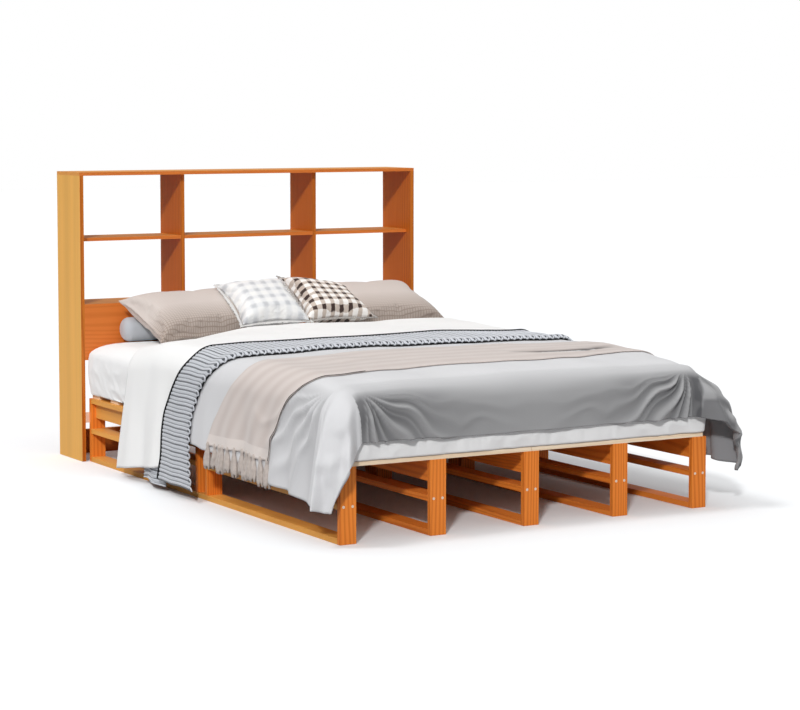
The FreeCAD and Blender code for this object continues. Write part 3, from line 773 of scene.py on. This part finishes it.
def tube(name, line, radius, sides=8):
    """A round tube along a line of points: circles square to the line, radius away from it."""
    along = np.gradient(line, axis=0)
    along /= np.linalg.norm(along, axis=1, keepdims=True)
    first = np.cross(along, [0.0, 1.0, 0.0])
    first /= np.linalg.norm(first, axis=1, keepdims=True)
    second = np.cross(along, first)
    angle = np.linspace(0, 2 * math.pi, sides, endpoint=False)
    circle = first[:, None] * np.cos(angle)[:, None] + second[:, None] * np.sin(angle)[:, None]
    points = line[:, None] + radius * circle
    shrunk = line[[0, -1]][:, None] + 0.05 * radius * circle[[0, -1]]
    return show_surface(name, np.concatenate([shrunk[:1], points, shrunk[1:]]), "root", closed=True)


def turned_side(q):
    return -np.interp(q, [0.19, 0.26, 0.4], [1.16, 1.158, 1.146])


blacks = (0.012, 0.012, 0.014), (0.025, 0.025, 0.028)
black_cord = cloth_finish("black_cord", *blacks, 900, "Object", sheen=0.05)
edge_p = np.linspace(*knit_ends, 420)
piping = tube("knit_throw_piping", drape(edge_p, knit_head(edge_p) + 0.001, 0.01), 0.0042)
edging_ends = (lambda p: knit_foot(p) + 0.009), (lambda p: knit_foot(p) + 0.02)
edging, _, _ = laid_cover("knit_throw_edging", *knit_sides, *edging_ends, 0.0044, 0.0015, even(420, 4))
turned_edges = turned_side, straight(-1.06), straight(0.19), straight(0.4)
turnback, _, _ = laid_cover(
    "knit_throw_turnback",
    *turned_edges,
    -0.016,
    0.004,
    even(60, 24),
    lambda a, b: rib_height(-1.16 + 0.1 * a),
)
for trim, finish in ((piping, black_cord), (edging, black_cord), (turnback, knit_yarn)):
    trim.data.materials.append(finish)
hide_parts("knit_throw")

# --- Fringed throw ---
# A thin beige throw with faint stripes along it. Its two ends have a plain woven band, and a
# fringe of knotted tassels.

fringe_left, fringe_right = -0.985, 0.965


def fringed_foot(p):
    places = [-0.99, -0.884, -0.813, -0.739, -0.68, -0.59, -0.485, -0.3, -0.22]
    places += [-0.12, 0.0, 0.08, 0.19, 0.34, 0.42, 0.5, 0.55, 0.64, 0.75, 0.96]
    levels = [0.605, 0.655, 0.697, 0.75, 0.795, 0.815, 0.8, 0.772, 0.767]
    levels += [0.783, 0.795, 0.802, 0.794, 0.776, 0.757, 0.735, 0.718, 0.718, 0.72, 0.64]
    return -eased(p, places, levels, 0.02)


def fringed_head(p):
    places = [-0.99, -0.906, -0.815, -0.742, -0.61, -0.44, 0, 0.45, 0.65, 0.8, 0.96]
    levels = [0.155, 0.187, 0.26, 0.345, 0.395, 0.39, 0.39, 0.39, 0.38, 0.33, 0.24]
    return -eased(p, places, levels, 0.02)


def stripes_and_painted_crease(tree, plain):
    """Stripes along the throw, from a sine of the place on it from its foot edge. A paler band
    ends it on the left, and the crease is painted near black: painted shade."""
    across, along = measured(tree)
    wave = calc("SINE", calc("MULTIPLY", along, 88.0))
    striped = blend(rescale(wave, -1.0, 1.0, 0.0, 0.45), plain, (0.72, 0.66, 0.625))
    banded = blend(rescale(across, -0.948, -0.944), (0.72, 0.65, 0.61), striped)
    return blend(read(tree, "crease_painted_shade"), banded, (0.035, 0.022, 0.016))


def crease_valley_and_shade(a, b):
    """The narrow valley of a fold near the right end, as a share of its depth, which also sets the valley's
    painted shade. It follows a line given along the throw, is a bell curve across it, and fades out at its
    ends."""
    p = fringe_left + (fringe_right - fringe_left) * a
    q = fringed_foot(p) * (1 - b) + fringed_head(p) * b
    levels = [-0.64, -0.625, -0.636, -0.65, -0.63, -0.59, -0.57]
    line = np.interp(p, [0.12, 0.2, 0.3, 0.43, 0.48, 0.55, 0.62], levels)
    ends = np.clip((p - 0.14) / 0.14, 0, 1) * np.clip((0.64 - p) / 0.12, 0, 1)
    return ends * np.minimum(1.4 * np.exp(-(((q - line) / 0.022) ** 2)), 1)


throw_shares = even(290, 110)
throw_edges = straight(fringe_left), straight(fringe_right), fringed_foot, fringed_head
fringed, fringed_points, _ = laid_cover(
    "fringed_throw_cloth", *throw_edges, 0.005, 0.003, throw_shares, lambda a, b: -0.005 * crease_valley_and_shade(a, b)
)
# The crease's painted shade, kept for the finish to read.
keep(fringed, "crease_painted_shade", crease_valley_and_shade(*np.meshgrid(*throw_shares)))
beiges = (0.61, 0.535, 0.5), (0.555, 0.48, 0.445)
beige_weave = cloth_finish("beige_weave", *beiges, 450, patch=7.0, sheen=0.3, pattern=stripes_and_painted_crease)
fringed.data.materials.append(beige_weave)


def tassels(name, hem, count, seed):
    """Tassels along a hem: each is a bundle that swells at its knot, narrows, spreads and is cut
    off ragged. Its radius is a profile down it, in mm, times a ripple round it for the strands."""
    chance = np.random.default_rng(seed)
    spots = hem[np.linspace(2, len(hem) - 3, count).astype(int)]
    profile = np.array([2, 4, 6, 7, 6, 5.5, 8, 11, 13, 14, 13.5, 5])[:, None] / 1000
    depth = np.array([0, 2, 6, 11, 16, 20, 28, 42, 56, 72, 84, 86])[:, None] / 1000
    angle = np.linspace(0, 2 * math.pi, 28, endpoint=False)[None]
    face = grid_faces(point_numbers(len(depth), angle.size, closed=True))[:, [0, 3, 2, 1]]
    bundles, faces = [], []
    for number, spot in enumerate(spots):
        length = chance.uniform(0.9, 1.12)
        lean_x, lean_y = chance.normal(-0.01, 0.03), chance.normal(0, 0.06)
        twist = angle + 9 * depth + chance.uniform(0, 6)
        ripple = 1 + 0.3 * np.abs(np.sin(3.5 * twist)) * np.minimum(depth / 0.02, 1)
        ragged = 0.007 * np.sin(4 * twist) * (depth / depth[-1]) ** 6
        radius = profile * ripple
        x = spot[0] + radius * np.cos(angle) * 0.7 + lean_x * depth
        y = spot[1] + radius * np.sin(angle) * 1.15 + lean_y * depth + 0.002 * np.sin(60 * depth + number)
        z = spot[2] - depth * length + ragged
        bundles.append(np.stack([x, y, z], axis=-1).reshape(-1, 3))
        faces.append(face + number * x.size)
    return show_mesh(name, np.concatenate(bundles), np.concatenate(faces), "root")


yarns = (0.66, 0.585, 0.54), (0.3, 0.255, 0.225)
fringe_yarn = cloth_finish("fringe_yarn", *yarns, 600, "Object", patch=70.0)
for name, column, seed in (("left_fringe", 1, 41), ("right_fringe", -2, 42)):
    fringe = tassels(name, fringed_points[:, column] + np.array([0, 0, 0.005]), 12, seed)
    fringe.data.materials.append(fringe_yarn)
edge_p = np.linspace(fringe_left, -0.5, 150)
edging = tube("fringed_throw_edging", drape(edge_p, fringed_foot(edge_p), 0.0055), 0.001)
edging.data.materials.append(black_cord)
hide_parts("fringed_throw")

# --- Pillows ---
# Two taupe pillows lean back on the mattress. Each is a stuffed case with a flat flange round its
# seam, drawn out to ears at the corners, and its cloth has a fine waffle weave.

mattress_top = 0.4556


def stuffed_case(width, height, thickness, pull, flange, rows):
    """Two crowned faces that meet at a seam. With a and b from -1 to 1 across and up, and both
    divided by the share inside the flange, the half thickness is the 0.45th power of
    (1-a^4)(1-b^4). The sides are drawn in between corners by pull times (1-b^2) or (1-a^2)."""
    a, b = np.meshgrid(np.linspace(-1, 1, rows), np.linspace(-1, 1, rows))
    inner_a, inner_b = a / (1 - 2 * flange / width), b / (1 - 2 * flange / height)
    swell = (np.maximum(1 - inner_a**4, 0) * np.maximum(1 - inner_b**4, 0)) ** 0.45
    half = np.maximum(swell * thickness / 2, 0.005)
    x = a * (width / 2 - pull * (1 - b**2))
    y = b * (height / 2 - pull * (1 - a**2))
    wave = 0.004 * soft_noise(x + 3, y + 3, 0.035, 33) * (1 - np.minimum(swell, 1))
    index = point_numbers(rows, rows)
    rim = np.zeros((rows, rows), bool)
    rim[[0, -1]] = rim[:, [0, -1]] = True
    under = index.copy()
    under[~rim] = rows * rows + np.arange((~rim).sum())
    front = np.stack([x, y, np.where(rim, 0, half) + wave], axis=-1).reshape(-1, 3)
    back = np.stack([x, y, wave - half], axis=-1)[~rim]
    mesh = bpy.data.meshes.new("case")
    faces = np.concatenate([grid_faces(index), grid_faces(under)[:, [0, 3, 2, 1]]])
    mesh.from_pydata(np.concatenate([front, back]), [], faces)
    return mesh


def points_of(piece):
    points = np.empty(len(piece.data.vertices) * 3, np.float32)
    piece.data.vertices.foreach_get("co", points)
    return points.reshape(-1, 3)


def blown_up(name, mesh, voxel, cap, pressure):
    """Swells a case with Cloth and pressure, no gravity, and moves no point past the cap."""
    frames = 20
    piece = show(name, mesh)
    bpy.context.view_layer.objects.active = piece
    remesh = piece.modifiers.new("even", "REMESH")
    remesh.mode = "VOXEL"
    remesh.voxel_size = voxel
    bpy.ops.object.select_all(action="DESELECT")
    piece.select_set(True)
    bpy.ops.object.modifier_apply(modifier="even")
    start = points_of(piece)
    cloth = piece.modifiers.new("cloth", "CLOTH")
    cloth.settings.use_pressure = True
    cloth.settings.uniform_pressure_force = pressure
    cloth.settings.effector_weights.gravity = 0
    cloth.settings.tension_stiffness = 8
    cloth.settings.bending_stiffness = 0.3
    cloth.point_cache.frame_start = 1
    cloth.point_cache.frame_end = frames
    for number in range(1, frames + 1):
        bpy.context.scene.frame_set(number)
    bpy.ops.object.modifier_apply(modifier="cloth")
    bpy.context.scene.frame_set(1)
    moved = points_of(piece) - start
    length = np.linalg.norm(moved, axis=1, keepdims=True)
    return piece, start + moved * np.minimum(1, cap / np.maximum(length, 1e-9))


def leant_places(flat, size, corners, centre, lean):
    """Flat points stretched to four corners and leant back. corners, from the bottom left and
    anticlockwise, are each given across the bed and up the lean from the centre."""
    a, b = flat[:, 0] / (size[0] / 2), flat[:, 1] / (size[1] / 2)
    shares = np.stack([(1 - a) * (1 - b), (1 + a) * (1 - b), (1 + a) * (1 + b), (1 - a) * (1 + b)]) / 4
    across, up = np.array(corners).T @ shares
    turn = math.radians(lean)
    y = centre[0] + up * math.cos(turn) - flat[:, 2] * math.sin(turn)
    z = centre[1] + up * math.sin(turn) + flat[:, 2] * math.cos(turn)
    return np.stack([across, y, z], axis=1)


def settle(piece, flat, places, rest_level):
    """Flattens leant places where they rest, and keeps the flat ones as the cloth's own measure."""
    places[:, 2] = np.maximum(places[:, 2], rest_level(places[:, 0], places[:, 1]))
    piece.data.vertices.foreach_set("co", places.astype(np.float32).ravel())
    keep(piece, "cloth", flat, "FLOAT_VECTOR", "vector")
    piece.data.update()
    piece.data.shade_smooth()
    smooth = piece.modifiers.new("smooth", "SUBSURF")
    smooth.levels = smooth.render_levels = 1
    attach(piece, "root")


def waffle_in_painted_shade(tree, plain):
    """Painted shade: dark lines every centimetre both ways for the waffle's recesses, and a darker colour
    toward the lower edge, where the lines show most.
    """
    own = read(tree, "cloth", "Vector")
    place = split(times(own, math.pi / 0.01))
    waves = [calc("ABSOLUTE", calc("SINE", place[axis])) for axis in (0, 1)]
    grid = calc("MAXIMUM", *[rescale(wave, 0.0, 0.6, 1.0, 0.0) for wave in waves])
    painted_shade_low = rescale(split(own)["Y"], -0.15, 0.0, 0.8, 0.04)
    painted_shade_tone = blend(painted_shade_low, plain, (0.38, 0.3, 0.25))
    return blend(calc("MULTIPLY", grid, painted_shade_low), painted_shade_tone, (0.2, 0.15, 0.12))


def mattress_level(x, y):
    return mattress_top + 0 * x


taupes = (0.66, 0.595, 0.555), (0.6, 0.535, 0.495)
# The taupe linen takes painted shade in its waffle and toward each pillow's lower edge.
pillow_cloth = cloth_finish("taupe_linen", *taupes, 500, "Object", sheen=0.2, pattern=waffle_in_painted_shade)
pillow_size, pillow_centre, pillow_lean = (0.48, 0.345), (0.822, 0.553), 28
pillow_corners = {
    "pillow_left": [(-0.555, -0.178), (-0.08, -0.165), (-0.08, 0.172), (-0.622, 0.14)],
    "pillow_right": [(0.18, -0.16), (0.742, -0.155), (0.668, 0.17), (0.15, 0.165)],
}
for node, corners in pillow_corners.items():
    case = stuffed_case(*pillow_size, thickness=0.11, pull=0.016, flange=0.018, rows=64)
    pillow, flat = blown_up("taupe_" + node, case, voxel=0.006, cap=0.016, pressure=4.0)
    settle(pillow, flat, leant_places(flat, pillow_size, corners, pillow_centre, pillow_lean), mattress_level)
    pillow.data.materials.append(pillow_cloth)
    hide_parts(node)

# --- Cushions ---
# Two square cushions lean on the pillows with their front edges on the quilt: a white one with
# blurred grey squares and a brown checked one that sags to the right. Both have a short fringe.


def quilt_level(x, y):
    return np.where(y < 0.66, bed_top(np.clip(x, -half_x, half_x), y) + 0.001, mattress_top)


def checks(band, crossing, pitch, share, soft, blur):
    """A pattern of bands both ways, and a third colour where two bands cross. A band starts where
    the sine of the cloth's own measure passes share, and is full at soft above it."""

    def pattern(tree, plain):
        place = split(warped(read(tree, "cloth", "Vector"), 90.0, blur * pitch))
        waves = [calc("SINE", calc("MULTIPLY", place[axis], 2 * math.pi / pitch)) for axis in (0, 1)]
        bands = [rescale(wave, share, share + soft) for wave in waves]
        banded = blend(calc("MAXIMUM", *bands), plain, band)
        return blend(calc("MULTIPLY", *bands), banded, crossing)

    return pattern


def cushion_fringe(side, pull, seed):
    """A narrow strip round the seam in the flat: its outer edge is ragged, 4 to 11 mm out."""
    chance = np.random.default_rng(seed)
    t = np.linspace(-1, 1, 110)[:-1]
    runs = [(t, -1 + 0 * t), (1 + 0 * t, t), (-t, 1 + 0 * t), (-1 + 0 * t, -t)]
    a, b = (np.concatenate([run[axis] for run in runs]) for axis in (0, 1))
    rim = np.stack([a * (side / 2 - pull * (1 - b**2)), b * (side / 2 - pull * (1 - a**2))], axis=1)
    outward = rim / np.linalg.norm(rim, axis=1, keepdims=True)
    reach = chance.uniform(0.004, 0.011, len(rim))[:, None]
    rows = [rim - 0.006 * outward, rim + 0.001 * outward, rim + reach * outward]
    strip = np.pad(np.stack(rows), ((0, 0), (0, 0), (0, 1)))
    strip[2, :, 2] = chance.normal(0, 0.0015, len(rim))
    return strip


cushions = {
    "patterned_cushion": {
        "slot": "patterned_cotton",
        "corners": [(-0.24, -0.158), (0.062, -0.152), (0.064, 0.145), (-0.236, 0.12)],
        "ground": (0.88, 0.875, 0.86),
        "bands": ((0.76, 0.765, 0.77), (0.54, 0.55, 0.57), 0.046, -0.5, 1.3, 0.2),
        "fringe": ((0.8, 0.79, 0.77), (0.55, 0.54, 0.53)),
    },
    "checked_cushion": {
        "slot": "checked_cotton",
        "corners": [(0.04, -0.15), (0.348, -0.145), (0.305, 0.055), (0.052, 0.16)],
        "ground": (0.88, 0.85, 0.82),
        "bands": ((0.55, 0.47, 0.41), (0.05, 0.03, 0.025), 0.037, 0.05, 0.25, 0.14),
        "fringe": ((0.7, 0.66, 0.62), (0.04, 0.03, 0.025)),
    },
}
cushion_side, cushion_pull, cushion_centre, cushion_lean = 0.29, 0.014, (0.7556, 0.604), 30
cushion_size = (cushion_side, cushion_side)
for number, (node, look) in enumerate(cushions.items()):
    case = stuffed_case(*cushion_size, thickness=0.085, pull=cushion_pull, flange=0.006, rows=52)
    cushion, flat = blown_up(node + "_pad", case, voxel=0.005, cap=0.014, pressure=4.0)
    leant = leant_places(flat, cushion_size, look["corners"], cushion_centre, cushion_lean)
    settle(cushion, flat, leant, quilt_level)
    grounds = look["ground"], tuple(0.95 * c for c in look["ground"])
    cushion.data.materials.append(
        cloth_finish(look["slot"], *grounds, 420, "Object", sheen=0.2, pattern=checks(*look["bands"]))
    )
    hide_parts(node)
    strip = cushion_fringe(cushion_side, cushion_pull, 50 + number)
    flat = strip.reshape(-1, 3)
    leant = leant_places(flat, cushion_size, look["corners"], cushion_centre, cushion_lean)
    leant[:, 2] = np.maximum(leant[:, 2], quilt_level(leant[:, 0], leant[:, 1]) + 0.001)
    fringe = show_surface(node + "_fringe", leant.reshape(strip.shape), "root", closed=True)
    fringe.data.materials.append(cloth_finish(node + "_yarn", *look["fringe"], 900, "Object", patch=160.0))
    add_wall(fringe, 0.002, 0.0)

# --- Bolster ---
# A slim grey-blue roll lies behind the left pillow, against the headboard's front panel. Its ends
# are gathered into small folds.

low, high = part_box("bolster")
set_right = 0.022
low.x, high.x = low.x + set_right, high.x + set_right
middle = (low + high) / 2
end_round = 0.03
along = np.linspace(low.x, high.x, 80)
from_end = np.pad((high.x - low.x) / 2 - np.abs(along - middle.x), 1)
rounding = 1 - np.sqrt(np.maximum(1 - (1 - np.minimum(from_end / end_round, 1)) ** 2, 0))
radius = (high.z - low.z) / 2 - end_round * rounding
radius[[0, -1]] = 0.002
angle = np.linspace(0, 2 * math.pi, 72, endpoint=False)
gather = 1 - 0.05 * np.abs(np.sin(9 * angle))[None] * rounding[:, None]
x = np.pad(along, 1, mode="edge")[:, None] + 0 * angle[None]
y = middle.y + radius[:, None] * gather * np.cos(angle)[None]
z = middle.z + radius[:, None] * gather * np.sin(angle)[None]
bolster = show_surface("grey_blue_bolster", np.stack([x, y, z], axis=-1)[:, ::-1], "root", closed=True)
blues = (0.52, 0.545, 0.58), (0.45, 0.475, 0.51)
bolster.data.materials.append(cloth_finish("grey_blue_cotton", *blues, 600, "Object"))
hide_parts("bolster")

# --- Update ---
# The view layer is brought up to date.

bpy.context.view_layer.update()
